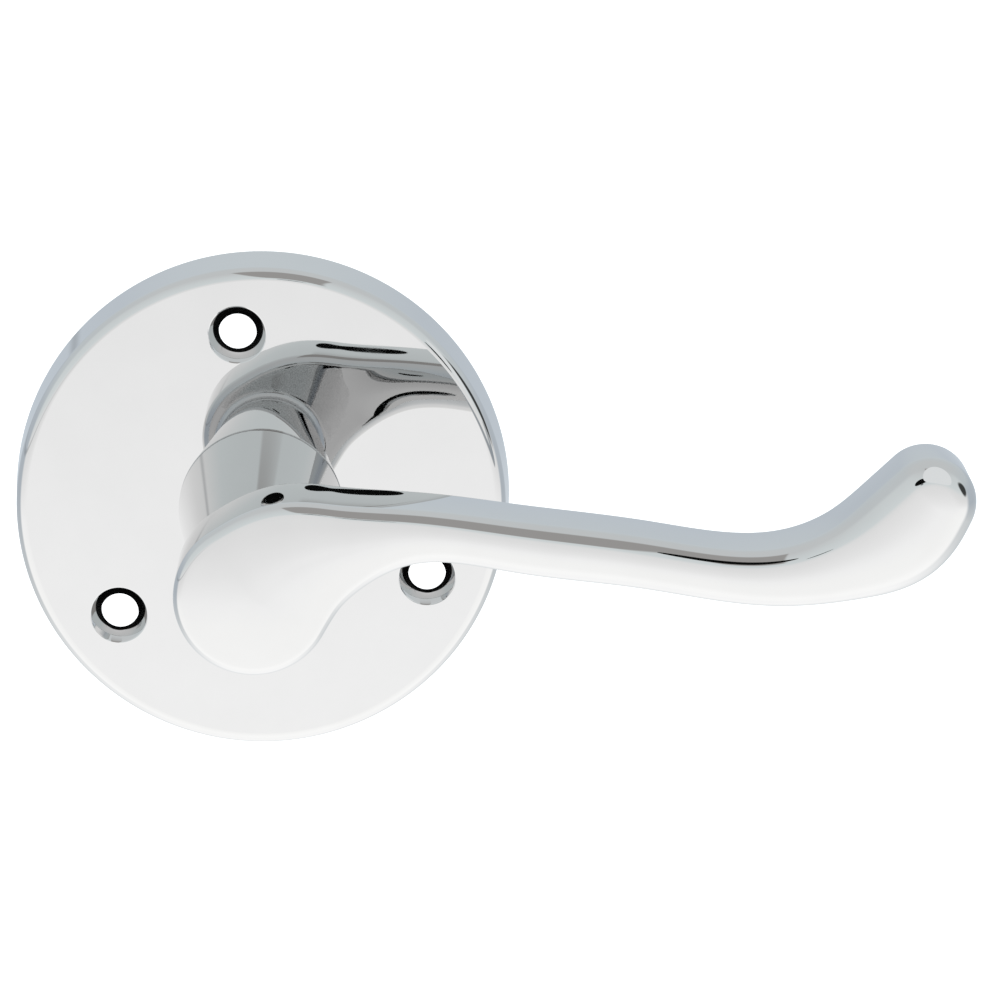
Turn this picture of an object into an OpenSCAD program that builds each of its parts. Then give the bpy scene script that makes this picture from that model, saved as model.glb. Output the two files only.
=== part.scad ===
// Scroll lever handle on a round, face-fixed rose, sprung, for a square spindle.
// The door's face is the plane y = 0. The handle stands out from it towards -Y,
// turns about the Y axis, and its arm reaches along +X.

/* [Rose] */
// Diameter of the rose at the door
rose_d = 63.5; // [58:0.5:77]
// How far the rose stands out from the door
rose_t = 9.2; // [9:0.1:14]
// How much the side draws in towards the front, on the radius
rose_draft = 0.7; // [0:0.1:1.2]
// Radius of the rounded front edge
rose_edge_r = 1.5; // [0.5:0.1:2.5]
// Thickness of the front plate
plate_t = 3; // [2.4:0.1:3.6]
// Thickness of the side wall
rim_t = 2.5; // [1.5:0.1:3]
// Diameter of the pocket for the spring
pocket_d = 36; // [34:0.5:38]
// Depth of the pocket in the back of the plate
pocket_h = 0.8; // [0.2:0.1:1]

/* [Screw holes] */
// Number of screw holes
screw_count = 3; // [2:1:4]
// Distance from the rose's edge to the middle of a screw hole
screw_inset = 8.85; // [7:0.05:9.5]
// Angle of the first screw hole, from the arm's side
screw_angle = 96.9; // [85:0.1:105]
// Diameter of a screw hole
screw_hole_d = 4.8; // [3.5:0.1:5.5]
// Diameter of the countersink at the face
screw_head_d = 7.4; // [6.5:0.1:9]
// Depth of the countersink
screw_sink_h = 1.5; // [1:0.1:2]

/* [Lever] */
// Distance from the rose's face to the back of the arm
neck_h = 35; // [28:0.5:45]
// Depth of the arm, from its back to its front edge
arm_depth = 11.6; // [9:0.1:15]
// Slope of the crowned front face at its edge, in degrees
crown_slope = 5.6; // [2:0.1:9]
// Radius of the rounded back edge
arm_back_edge_r = 1.2; // [0.5:0.1:2]
// Reach of the arm's tip circle from the turning axis
arm_reach = 80.2; // [66:0.1:98]
// How far the neck's foot reaches past the bush's flange
neck_foot_lap = 0.75; // [0.3:0.05:2]
// Diameter of the neck at the arm
neck_top_d = 13.4; // [12.6:0.1:14.2]
// Radius of the fillet between the neck and the arm
neck_fillet_r = 0.9; // [0.4:0.1:1.2]
// Gap between the neck and the rose's face
neck_gap = 0.25; // [0.1:0.05:0.6]

/* [Shank, bush and rings] */
// Diameter of the turned shank behind the neck
shank_d = 16; // [13.3:0.1:19.2]
// Width across the two flats at the shank's end
shank_flats = 13.6; // [12.6:0.1:15]
// Wall of the nylon bush
bush_wall = 1; // [0.8:0.1:1.5]
// Thickness of the bush's flange
bush_flange_t = 1.1; // [0.8:0.1:1.4]
// Depth of the seat for the flange in the rose's face
flange_seat_h = 0.9; // [0.7:0.1:1.2]
// Width of the flange beyond the sleeve
bush_flange_w = 0.7; // [0.5:0.1:1]
// Wall of the boss round the bush
boss_wall = 1.8; // [1.4:0.1:2.4]
// Length of the boss behind the pocket's floor
boss_h = 2.7; // [2.5:0.1:4]
// Thickness of the nylon thrust washer
thrust_t = 0.6; // [0.4:0.1:1]
// Height of the dished spring washer
dish_h = 0.6; // [0.5:0.1:1]
// Thickness of the spring washer's steel
dish_t = 0.25; // [0.2:0.05:0.35]
// Thickness of the circlip
clip_t = 1; // [0.8:0.1:1.2]
// Depth of the circlip's groove
clip_groove = 0.6; // [0.4:0.1:0.8]
// Radial width of the circlip
clip_w = 2; // [1.5:0.1:2.5]
// Length of shank left behind the groove
shank_land = 0.6; // [0.4:0.1:1]

/* [Spring and stops] */
// Angle the lever turns, from rest to the stop
turn = 45; // [30:1:55]
// Diameter of the spring's wire
wire_d = 0.8; // [0.6:0.1:0.8]
// Full turns of the spring, besides the part turn between its legs
spring_turns = 2; // [1:1:2]
// Direction of the spring's fixed leg, from the arm's side
fixed_leg_angle = 30; // [20:1:40]
// Thickness of the stop plate
stop_t = 1.2; // [1:0.1:1.5]
// Width of the stop plate's ear
ear_w = 4; // [3:0.1:5]
// Radial thickness of the ear's bent tab
tab_t = 2.2; // [1.5:0.1:2.5]
// Diameter of the stop pins and of the spring's post
pin_d = 3; // [2:0.1:3.2]
// Depth of the pins' seats in the plate
pin_seat = 1.4; // [1:0.1:1.6]

/* [Spindle and grub screw] */
// Width across the spindle's flats
spindle_w = 8; // [6.6:0.1:9.6]
// How far the spindle stands out behind the rose
spindle_out = 45; // [20:1:60]
// How far the spindle reaches into the lever from the door's face
spindle_in = 38; // [25:1:42]
// Diameter of the grub screw
grub_d = 5; // [4:0.1:6]
// Width across the flats of the grub screw's socket
grub_key = 2.5; // [2:0.1:3]
// Distance of the grub screw from the rose's face
grub_out = 9; // [6:0.5:15]

/* [Fits] */
// Running clearance on the radius between shank and bush
run_gap = 0.05; // [0.02:0.01:0.08]
// Clearance between pieces that are fixed together
seat_gap = 0.02; // [0.01:0.01:0.04]
// Play between the rings along the shank
end_play = 0.05; // [0.03:0.01:0.1]
// Clearance round the spindle in its socket
spindle_gap = 0.05; // [0.03:0.01:0.1]
// Clearance on the radius between the boss and the spring's coil
coil_gap = 0.4; // [0.3:0.05:0.6]
// Clearance between the coil and the pocket's floor
floor_gap = 0.1; // [0.05:0.05:0.2]
// Clearance between the coil and the stop plate
plate_gap = 0.25; // [0.15:0.05:0.4]
// Clearance on the radius between the coil and the pins
pin_room = 1; // [0.5:0.1:1.5]
// Clearance between a spring leg and what it pushes on
leg_gap = 0.05; // [0.03:0.01:0.1]
// Clearance between the ear and a stop pin at the end of the turn
ear_gap = 0.1; // [0.05:0.05:0.2]

/* [Hidden] */
round_fn = 120;
cut = 1;

rose_r = rose_d / 2;
draft_angle = atan(rose_draft / rose_t);
edge_out = rose_t - rose_edge_r;
edge_r = (rose_r * cos(draft_angle) - rose_edge_r - edge_out * sin(draft_angle)) / cos(draft_angle);
plate_back = rose_t - plate_t;
pocket_floor = plate_back + pocket_h;
screw_r = rose_r - screw_inset;

shank_r = shank_d / 2;
bush_in_r = shank_r + run_gap;
bush_out_r = bush_in_r + bush_wall;
flange_r = bush_out_r + bush_flange_w;
flange_back = rose_t - flange_seat_h;
flange_front = flange_back + bush_flange_t;
boss_r = bush_out_r + seat_gap + boss_wall;
boss_end = pocket_floor - boss_h;
neck_back = max(rose_t + neck_gap, flange_front + end_play);

thrust_front = boss_end - end_play;
stop_front = thrust_front - thrust_t;
stop_back = stop_front - stop_t;
dish_back = stop_back - dish_h;
clip_back = dish_back - clip_t;
shank_end = clip_back - end_play - shank_land;
groove_r = shank_r - clip_groove;

coil_r = boss_r + coil_gap + wire_d / 2;
coil_front = pocket_floor - floor_gap - wire_d / 2;
coil_back = stop_front + plate_gap + wire_d / 2;
pin_r = pin_d / 2;
pin_ring_r = coil_r + wire_d / 2 + pin_room + pin_r;
leg_end_r = pin_ring_r + pin_r;
leg_side = wire_d / 2 + leg_gap;

// The ear swings evenly to both sides of straight down
ear_rest = -90 + turn / 2;
ear_half_angle = asin((ear_w / 2 + pin_r + ear_gap) / pin_ring_r);
stop_angles = [ear_rest + ear_half_angle, ear_rest - turn - ear_half_angle];
free_leg_angle = ear_rest - asin((ear_w / 2 + leg_side) / (pin_ring_r - tab_t / 2));
post_angle = fixed_leg_angle - asin((pin_r + leg_side) / pin_ring_r);
coil_angle = 360 * spring_turns + fixed_leg_angle - free_leg_angle;

foot_r = flange_r + neck_foot_lap;
neck_top_r = neck_top_d / 2;
arm_back = rose_t + neck_h;
neck_end = arm_back - neck_fillet_r;
foot_edge_r = 0.3;
arm_front = arm_back + arm_depth;

// Circles that the arm's front view is wrapped round, from the scroll head over
// the turning axis to the curled tip: x, height, radius and front edge radius
arm_circles = [
    [0.4, 0.8, 9.4, 1.3],
    [4.2, 4.2, 8, 1.4],
    [9.4, 6.2, 5.8, 1.5],
    [19.2, 8, 3.3, 1.7],
    [31.8, 6.6, 3.1, 1.9],
    [46.6, 4.6, 3.1, 2],
    [62.4, 2.8, 3.5, 2],
    [72, 5, 4.9, 2.4],
    [77.2, 8, 6, 3],
    [80.2, 11.6, 5.4, 3]
];
arm_steps = 5;
arm_round = 10;

// Turns the drawing frame so that its Z axis points straight out of the door
module out_of_door() {
    rotate([90, 0, 0]) children();
}

function arc(centre, r, from, to, steps) = [for (i = [0:steps])
    let (angle = from + (to - from) * i / steps)
    centre + r * [cos(angle), sin(angle)]];

module at_angle(angle, r) {
    rotate([0, 0, angle]) translate([r, 0, 0]) children();
}

module ring(in_r, out_r, back, front) {
    rotate_extrude($fn = round_fn) translate([in_r, back]) square([out_r - in_r, front - back]);
}

// Cast rose: hollow shell with a central boss, a spring pocket and screw holes
module rose_plate() {
    bore_r = bush_out_r + seat_gap;
    color("gainsboro") out_of_door() difference() {
        rotate_extrude($fn = round_fn) polygon(concat(
            [[rose_r - rim_t, 0], [rose_r, 0]],
            arc([edge_r, edge_out], rose_edge_r, draft_angle, 90, 6),
            [[flange_r + seat_gap, rose_t], [flange_r + seat_gap, flange_back]],
            [[bore_r, flange_back], [bore_r, boss_end], [boss_r, boss_end], [boss_r, pocket_floor]],
            [[pocket_d / 2, pocket_floor], [pocket_d / 2, plate_back], [rose_r - rim_t, plate_back]]
        ));
        for (i = [0:screw_count - 1]) at_angle(screw_angle + i * 360 / screw_count, screw_r) screw_hole();
        for (angle = stop_angles) at_angle(angle, pin_ring_r) pin_seat_hole();
        at_angle(post_angle, pin_ring_r) pin_seat_hole();
    }
}

module screw_hole() {
    slope = (screw_head_d - screw_hole_d) / 2 / screw_sink_h;
    translate([0, 0, -cut]) cylinder(d = screw_hole_d, h = rose_t + 2 * cut, $fn = 48);
    translate([0, 0, rose_t - screw_sink_h]) cylinder(
        d1 = screw_hole_d, d2 = screw_head_d + 2 * slope * cut, h = screw_sink_h + cut, $fn = 48);
}

module pin_seat_hole() {
    translate([0, 0, pocket_floor - cut]) cylinder(r = pin_r + seat_gap, h = cut + pin_seat, $fn = 48);
}

// Flanged nylon bush, pressed into the rose, that the shank turns in
module neck_bush() {
    color("ivory") out_of_door() rotate_extrude($fn = round_fn) polygon([
        [bush_in_r, boss_end], [bush_out_r, boss_end], [bush_out_r, flange_back],
        [flange_r, flange_back], [flange_r, flange_front], [bush_in_r, flange_front]
    ]);
}

module pin(back) {
    translate([0, 0, back]) cylinder(r = pin_r, h = pocket_floor + pin_seat - seat_gap - back, $fn = 48);
}

// Two steel pins in the rose that stop the lever at rest and when pressed down
module stop_pins() {
    color("silver") out_of_door() for (angle = stop_angles) at_angle(angle, pin_ring_r) pin(stop_back);
}

// Steel post in the rose that holds the spring's fixed leg
module spring_post() {
    color("silver") out_of_door() at_angle(post_angle, pin_ring_r) pin(stop_front);
}

// Torsion spring round the boss: a fixed leg at the plate, a free leg at the ear
module return_spring() {
    steps_a_turn = 24;
    bend_r = wire_d;
    turns = coil_angle / 360;
    count = ceil(turns * steps_a_turn);
    coil = [for (i = [0:count])
        let (share = i / count)
        spot(fixed_leg_angle - coil_angle * share, coil_r, coil_front + (coil_back - coil_front) * share)];
    fixed_leg = [for (r = [leg_end_r, coil_r + bend_r]) spot(fixed_leg_angle, r, coil_front)];
    free_leg = [for (r = [coil_r + bend_r, leg_end_r]) spot(free_leg_angle, r, coil_back)];
    route = concat(fixed_leg, coil, free_leg);
    color("slategray") out_of_door() wire(route, wire_d / 2, 8);
}

function spot(angle, r, out) = [r * cos(angle), r * sin(angle), out];

function unit(v) = v / norm(v);

// Solid wire along a route, with one ring of points square to the wire at each
// point of the route. The rings' first side stays parallel to the turning axis.
module wire(route, r, sides) {
    last = len(route) - 1;
    runs = [for (i = [0:last - 1]) unit(route[i + 1] - route[i])];
    points = [for (i = [0:last])
        let (along = unit(runs[max(i - 1, 0)] + runs[min(i, last - 1)]))
        let (side = unit(cross(along, [0, 0, 1])))
        let (up = cross(side, along))
        for (k = [0:sides - 1]) route[i] + r * (cos(360 * k / sides) * side + sin(360 * k / sides) * up)];
    walls = [for (i = [0:last - 1]) for (k = [0:sides - 1])
        let (a = i * sides + k)
        let (b = i * sides + (k + 1) % sides)
        each [[a, b, b + sides], [a, b + sides, a + sides]]];
    first_cap = [for (k = [0:sides - 1]) sides - 1 - k];
    last_cap = [for (k = [0:sides - 1]) last * sides + k];
    polyhedron(points, concat(walls, [first_cap, last_cap]));
}

// Point and slope of a smooth curve through the arm's circles
function curve(a, b, c, d, u) = 0.5 * (2 * b + (c - a) * u + (2 * a - 5 * b + 4 * c - d) * u * u
    + (3 * b - a - 3 * c + d) * u * u * u);
function curve_slope(a, b, c, d, u) = 0.5 * (c - a + 2 * (2 * a - 5 * b + 4 * c - d) * u
    + 3 * (3 * b - a - 3 * c + d) * u * u);

// Cast lever: crowned arm, tapering neck and turned shank in one piece, with a
// square socket for the spindle and a hole for the grub screw
module lever_handle() {
    color("gainsboro") out_of_door() difference() {
        union() {
            arm();
            neck_and_shank();
        }
        spindle_socket();
        grub_hole();
        for (side = [0, 180]) rotate([0, 0, side]) shank_flat();
    }
}

module grub_hole() {
    translate([0, 0, rose_t + grub_out]) rotate([90, 0, 0]) cylinder(d = grub_d, h = 2 * foot_r, $fn = 48);
}

module spindle_socket() {
    w = spindle_w + 2 * spindle_gap;
    translate([-w / 2, -w / 2, shank_end - cut]) cube([w, w, spindle_in + spindle_gap - shank_end + cut]);
}

module shank_flat() {
    back = shank_end - cut;
    translate([-shank_d, shank_flats / 2, back]) cube([2 * shank_d, shank_d, stop_front - back]);
}

module neck_and_shank() {
    groove_back = clip_back - end_play;
    inside_arm = arm_back + arm_depth / 2;
    fillet_end = neck_top_r + neck_fillet_r;
    rotate_extrude($fn = round_fn) polygon(concat(
        [[0, shank_end], [shank_r, shank_end], [shank_r, groove_back], [groove_r, groove_back]],
        [[groove_r, dish_back], [shank_r, dish_back], [shank_r, neck_back]],
        arc([foot_r - foot_edge_r, neck_back + foot_edge_r], foot_edge_r, 270, 360, 3),
        arc([fillet_end, neck_end], neck_fillet_r, 180, 90, 6),
        [[fillet_end, inside_arm], [0, inside_arm]]
    ));
}

// The arm's front view is the outline round its circles. Each outline point
// keeps its circle's centre, so that edges and crown step straight towards it.
module arm() {
    stretch = arm_reach / arm_circles[len(arm_circles) - 1][0];
    knots = [for (c = arm_circles) [c[0] < neck_top_d ? c[0] : c[0] * stretch, c[1], c[2], c[3]]];
    last = len(knots) - 1;
    before = 2 * knots[0] - knots[1];
    after = 2 * knots[last] - knots[last - 1];
    stations = [for (i = [0:last - 1]) for (j = [0:i == last - 1 ? arm_steps : arm_steps - 1])
        let (a = i == 0 ? before : knots[i - 1])
        let (d = i == last - 1 ? after : knots[i + 2])
        let (at = curve(a, knots[i], knots[i + 1], d, j / arm_steps))
        let (slope = curve_slope(a, knots[i], knots[i + 1], d, j / arm_steps))
        station(at, slope)];
    end = len(stations) - 1;
    tip = stations[end];
    head = stations[0];
    outline = concat(
        [for (s = stations) [s[0], s[1], s[2]]],
        end_arc(tip, tip[2], tip[3]),
        [for (i = [0:end]) let (s = stations[end - i]) [s[0], s[1], s[3]]],
        end_arc(head, head[3], head[2])
    );
    levels = concat(
        [for (angle = [0:30:90]) ["back edge", angle]],
        [for (i = [0:4]) ["front edge", (90 - crown_slope) * i / 4]],
        [for (share = [0.3, 0.6, 0.9]) ["crown", share]]
    );
    count = len(outline);
    points = [for (level = levels) for (q = outline) level_point(q, level)];
    walls = [for (k = [0:len(levels) - 2]) for (i = [0:count - 1])
        let (a = k * count + i)
        let (b = k * count + (i + 1) % count)
        each [[a, b, b + count], [a, b + count, a + count]]];
    cap = concat(
        [for (i = [0:end - 1]) [i, i + 1, count - arm_round - 2 - i, count - arm_round - 1 - i]],
        [[for (i = [end:end + arm_round + 1]) i]],
        [[for (i = [0:arm_round + 1]) (count - arm_round - 1 + i) % count]]
    );
    front = (len(levels) - 1) * count;
    back_cap = [for (face = cap) [for (i = [len(face) - 1:-1:0]) face[i]]];
    front_cap = [for (face = cap) [for (i = face) front + i]];
    polyhedron(points, concat(walls, back_cap, front_cap));
}

// Centre, [radius, edge radius], and the outward directions of the two points
// where the outline touches the circle, on its upper and on its lower side
function station(at, slope) =
    let (speed = norm([slope.x, slope.y]))
    let (along = [slope.x, slope.y] / speed)
    let (lean = slope[2] / speed)
    let (across = sqrt(1 - lean * lean) * [-along.y, along.x])
    [[at.x, at.y], [at[2], at[3]], across - lean * along, -across - lean * along];

// Points clockwise round the end circle, between two outward directions
function end_arc(s, from, to) =
    let (first = atan2(from.y, from.x))
    let (last = atan2(to.y, to.x))
    let (sweep = last - first - (last > first ? 360 : 0))
    [for (i = [1:arm_round])
        let (angle = first + sweep * i / (arm_round + 1))
        [s[0], s[1], [cos(angle), sin(angle)]]];

// Point of the arm's skin at a level: the back and the front edge are given by
// the angle round them, and the crown by the share of the way to the middle
function level_point(q, level) =
    let (r = q[1][0])
    let (edge = q[1][1])
    level[0] == "back edge" ? edge_point(q, r, arm_back_edge_r, level[1], arm_back, 1)
    : level[0] == "front edge" ? edge_point(q, r, edge, 90 - level[1], arm_front, -1)
    : crown_point(q, r - edge * (1 - sin(crown_slope)), edge, level[1]);

// The crown starts at the slope that the front edge ends with, and is level in the middle
function crown_point(q, width, edge, share) =
    let (start = arm_front - edge * (1 - cos(crown_slope)))
    let (rise = width * tan(crown_slope) / 2)
    skin_point(q, width * (1 - share), start + rise * (1 - (1 - share) ^ 2));

function edge_point(q, r, edge, angle, face, way) =
    skin_point(q, r - edge * (1 - sin(angle)), face + way * edge * (1 - cos(angle)));

function skin_point(q, r, out) = [q[0].x + r * q[2].x, q[0].y + r * q[2].y, out];

// Nylon washer between the boss and the stop plate
module thrust_washer() {
    color("ivory") out_of_door() ring(bush_in_r, boss_r - seat_gap, stop_front, thrust_front);
}

// Steel plate keyed on the shank's flats, with an ear that meets the stop pins
module stop_plate() {
    key = shank_flats + 2 * seat_gap;
    ear_r = pin_ring_r + tab_t / 2;
    color("silver") out_of_door() {
        translate([0, 0, stop_back]) difference() {
            union() {
                cylinder(r = boss_r, h = stop_t, $fn = round_fn);
                rotate([0, 0, ear_rest]) translate([0, -ear_w / 2, 0]) cube([ear_r, ear_w, stop_t]);
            }
            translate([0, 0, -cut]) intersection() {
                cylinder(r = shank_r + seat_gap, h = stop_t + 2 * cut, $fn = round_fn);
                translate([-shank_d, -key / 2, 0]) cube([2 * shank_d, key, stop_t + 2 * cut]);
            }
        }
        rotate([0, 0, ear_rest]) translate([ear_r - tab_t, -ear_w / 2, stop_back])
            cube([tab_t, ear_w, coil_back + wire_d - stop_back]);
    }
}

// Dished spring washer that takes up the play along the shank
module spring_washer() {
    dish_inset = 1;
    in_r = shank_r + 2 * run_gap;
    out_r = boss_r - dish_inset;
    color("slategray") out_of_door() rotate_extrude($fn = round_fn) polygon([
        [in_r, dish_back], [in_r + dish_t, dish_back], [out_r, stop_back - dish_t], [out_r, stop_back],
        [out_r - dish_t, stop_back], [in_r, dish_back + dish_t]
    ]);
}

// External circlip in the shank's groove, with its gap at the top
module circlip() {
    in_r = groove_r + seat_gap;
    lug_r = 1.6;
    lug_angle = 22;
    mouth_angle = 14;
    color("dimgray") out_of_door() translate([0, 0, clip_back]) linear_extrude(clip_t) difference() {
        union() {
            circle(r = in_r + clip_w, $fn = round_fn);
            for (side = [-1, 1]) rotate(90 + side * lug_angle) translate([in_r + clip_w, 0]) {
                circle(r = lug_r, $fn = 32);
            }
        }
        circle(r = in_r, $fn = round_fn);
        polygon([[0, 0], for (side = [-1, 1]) 2 * shank_d * [side * sin(mouth_angle), cos(mouth_angle)]]);
        for (side = [-1, 1]) rotate(90 + side * lug_angle) translate([in_r + clip_w, 0]) {
            circle(r = lug_r / 2, $fn = 24);
        }
    }
}

// Square steel spindle that turns the latch in the door
module spindle() {
    color("darkgray") out_of_door() translate([-spindle_w / 2, -spindle_w / 2, -spindle_out])
        cube([spindle_w, spindle_w, spindle_out + spindle_in]);
}

// Socket-headed grub screw in the neck's underside that grips the spindle
module grub_screw() {
    sunk = 0.8;
    point_h = 2.1;
    neck_share = (rose_t + grub_out - neck_back) / (neck_end - neck_back);
    neck_r = foot_r + (neck_top_r - foot_r) * neck_share;
    length = neck_r - sunk - spindle_w / 2;
    color("dimgray") translate([0, -rose_t - grub_out, -spindle_w / 2 - length]) difference() {
        cylinder(r = grub_d / 2 - seat_gap, h = length, $fn = 48);
        translate([0, 0, -cut]) cylinder(d = grub_key / cos(30), h = length - point_h + cut, $fn = 6);
    }
}

rose_plate();
neck_bush();
stop_pins();
spring_post();
return_spring();
lever_handle();
thrust_washer();
stop_plate();
spring_washer();
circlip();
spindle();
grub_screw();
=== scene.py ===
import math

import bmesh
import bpy
from mathutils import Matrix, Vector


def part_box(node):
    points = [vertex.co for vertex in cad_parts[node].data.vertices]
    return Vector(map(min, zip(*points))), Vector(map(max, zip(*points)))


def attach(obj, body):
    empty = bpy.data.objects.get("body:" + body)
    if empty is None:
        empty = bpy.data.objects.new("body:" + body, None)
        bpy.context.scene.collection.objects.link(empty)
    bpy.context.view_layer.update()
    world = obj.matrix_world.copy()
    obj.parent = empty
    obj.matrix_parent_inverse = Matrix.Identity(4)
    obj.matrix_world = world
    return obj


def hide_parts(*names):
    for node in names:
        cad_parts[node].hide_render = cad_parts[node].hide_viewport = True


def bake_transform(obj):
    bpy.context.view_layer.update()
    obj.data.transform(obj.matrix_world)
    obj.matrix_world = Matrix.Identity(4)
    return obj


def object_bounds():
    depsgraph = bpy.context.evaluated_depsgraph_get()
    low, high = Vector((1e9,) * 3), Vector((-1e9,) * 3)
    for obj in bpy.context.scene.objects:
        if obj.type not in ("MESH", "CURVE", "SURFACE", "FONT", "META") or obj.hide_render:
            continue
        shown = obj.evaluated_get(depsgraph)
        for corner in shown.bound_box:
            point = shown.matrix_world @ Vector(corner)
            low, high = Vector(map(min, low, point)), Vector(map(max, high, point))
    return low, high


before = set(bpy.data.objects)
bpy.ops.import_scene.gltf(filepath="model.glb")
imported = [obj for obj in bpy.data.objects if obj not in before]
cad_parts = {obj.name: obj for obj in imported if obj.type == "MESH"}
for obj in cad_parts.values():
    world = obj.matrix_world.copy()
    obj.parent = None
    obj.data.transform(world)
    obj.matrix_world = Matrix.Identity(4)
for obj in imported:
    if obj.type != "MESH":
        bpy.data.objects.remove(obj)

cad_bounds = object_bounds()
MM = 0.001

# ---------------------------------------------------------------------------
# Camera: a long lens, almost straight in front and looking down 14 degrees,
# so that the lever's upper side and the rose's face both show.
# ---------------------------------------------------------------------------
camera_aim = Vector((0.0299, 0, -0.0005))
camera_distance = 0.6
camera_elevation = math.radians(14)
camera_azimuth = math.radians(-1.07)

camera_data = bpy.data.cameras.new("camera")
camera_data.lens = 168.9
camera_data.clip_start = 0.05
camera_data.clip_end = 20
camera = bpy.data.objects.new("camera", camera_data)
bpy.context.scene.collection.objects.link(camera)
towards_camera = Vector((
    math.sin(camera_azimuth) * math.cos(camera_elevation),
    -math.cos(camera_azimuth) * math.cos(camera_elevation),
    math.sin(camera_elevation),
))
camera.location = camera_aim + camera_distance * towards_camera
camera.rotation_euler = (-towards_camera).to_track_quat("-Z", "Y").to_euler()
bpy.context.scene.camera = camera
bpy.context.scene.view_settings.view_transform = "Standard"

# ---------------------------------------------------------------------------
# Studio: a pale floor, a white sweep in front of the handle, blue-grey walls
# behind it, a dim strip overhead and small flags that only the plating mirrors.
# The places of the strip, the dark spot and the flags were found by trial.
# ---------------------------------------------------------------------------


class Shader:
    """One output socket of a node tree. Arithmetic on it adds Math nodes."""

    def __init__(self, tree, socket=None):
        self.tree = tree
        self.socket = socket

    def node(self, kind, settings=None, inputs=None, output=0):
        made = self.tree.nodes.new("ShaderNode" + kind)
        for name, value in (settings or {}).items():
            if name == "stops":
                while len(made.color_ramp.elements) < len(value):
                    made.color_ramp.elements.new(0.5)
                for element, (position, colour) in zip(made.color_ramp.elements, value):
                    element.position = position
                    element.color = (*colour, 1) if isinstance(colour, tuple) else (colour, colour, colour, 1)
            else:
                setattr(made, name, value)
        for name, value in (inputs or {}).items():
            if isinstance(value, Shader):
                self.tree.links.new(value.socket, made.inputs[name])
            else:
                made.inputs[name].default_value = value
        return Shader(self.tree, made.outputs[output] if made.outputs else None)

    def math(self, operation, *values):
        return self.node("Math", {"operation": operation}, dict(enumerate((self,) + values)))

    def __add__(self, other):
        return self.math("ADD", other)

    def __mul__(self, other):
        return self.math("MULTIPLY", other)

    def __sub__(self, other):
        return self.math("SUBTRACT", other)

    def __rsub__(self, other):
        return self.node("Math", {"operation": "SUBTRACT"}, {0: other, 1: self})

    __radd__ = __add__
    __rmul__ = __mul__

    def ramp(self, *stops):
        return self.node("ValToRGB", {"stops": stops}, {0: self})

    def ramp_over(self, start, end, *stops):
        """Colour ramp whose stops are given in the socket's own units."""
        share = self.node("MapRange", {}, {0: self, 1: start, 2: end})
        return share.ramp(*(((at - start) / (end - start), colour) for at, colour in stops))

    def mix(self, low, high):
        return self.node("Mix", {"data_type": "RGBA"}, {0: self, 6: low, 7: high}, output=2)

    def step(self, start, end):
        """0 below start and 1 above end, with a smooth rise between them."""
        settings = {"interpolation_type": "SMOOTHSTEP"}
        return self.node("MapRange", settings, {0: self, 1: start, 2: end, 3: 0.0, 4: 1.0})


def new_tree(owner):
    owner.use_nodes = True
    owner.node_tree.nodes.clear()
    return Shader(owner.node_tree)


world = bpy.data.worlds.new("studio")
bpy.context.scene.world = world
sky = new_tree(world)
heading = sky.node("TexCoord", output=0)
right, back, up = (sky.node("SeparateXYZ", {}, {0: heading}, output=i) for i in range(3))
front = -1 * back
degrees = 180 / math.pi
height = up.math("ARCSINE") * degrees
sideways = right.math("ARCSINE") * degrees
walls = height.ramp_over(
    -90, 90, (-70, (1.40, 1.40, 1.40)), (-50, (1.15, 1.17, 1.18)),
    (-30, (0.80, 0.84, 0.86)), (-10, (0.60, 0.66, 0.72)),
    (8, (0.62, 0.68, 0.74)), (22, (0.72, 0.78, 0.81)), (60, (0.76, 0.79, 0.80)))
sweep = height.ramp_over(
    -90, 90, (-50, (1.43, 1.43, 1.42)), (-20, (1.34, 1.34, 1.33)),
    (-16, (1.30, 1.30, 1.30)), (-14, (1.25, 1.25, 1.25)),
    (-11, (1.17, 1.17, 1.17)), (-6, (1.08, 1.08, 1.08)), (1, (1.03, 1.04, 1.04)), (9, (0.90, 0.96, 0.97)),
    (40, (0.84, 0.89, 0.90)), (75, (0.76, 0.78, 0.79)))
room = front.step(0.05, 0.4).mix(walls, sweep)
horizon = height.step(-1.5, 0) * (1 - height.step(0, 1.5)) * (1 - sideways.step(-20, -10))
room = (0.5 * horizon).mix(room, (0.3, 0.32, 0.34, 1))
spread = height - 27
left_side = (sideways + 0.15 * spread).step(-3, -1.5)
right_side = 1 - (sideways - 0.25 * spread).step(8.8, 10.3)
gap = left_side * right_side * height.step(15, 21) * front.step(0.1, 0.25)
room = gap.mix(room, (0.45, 0.44, 0.43, 1))


def dark_spot(direction, radius, softness):
    """1 inside a cone round a direction given by its angles round and up, and 0 outside."""
    a, h = (math.radians(angle) for angle in direction)
    axis = (math.sin(a) * math.cos(h), -math.cos(a) * math.cos(h), math.sin(h))
    near = sky.node("VectorMath", {"operation": "DOT_PRODUCT"}, {0: heading, 1: axis}, output=1)
    return near.step(math.cos(math.radians(radius + softness)), math.cos(math.radians(radius)))


room = (0.95 * dark_spot((66, 14), 9, 6)).mix(room, (0.02, 0.02, 0.02, 1))
sky.node("OutputWorld", {}, {0: sky.node("Background", {}, {0: room, 1: 1.0})})

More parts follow.
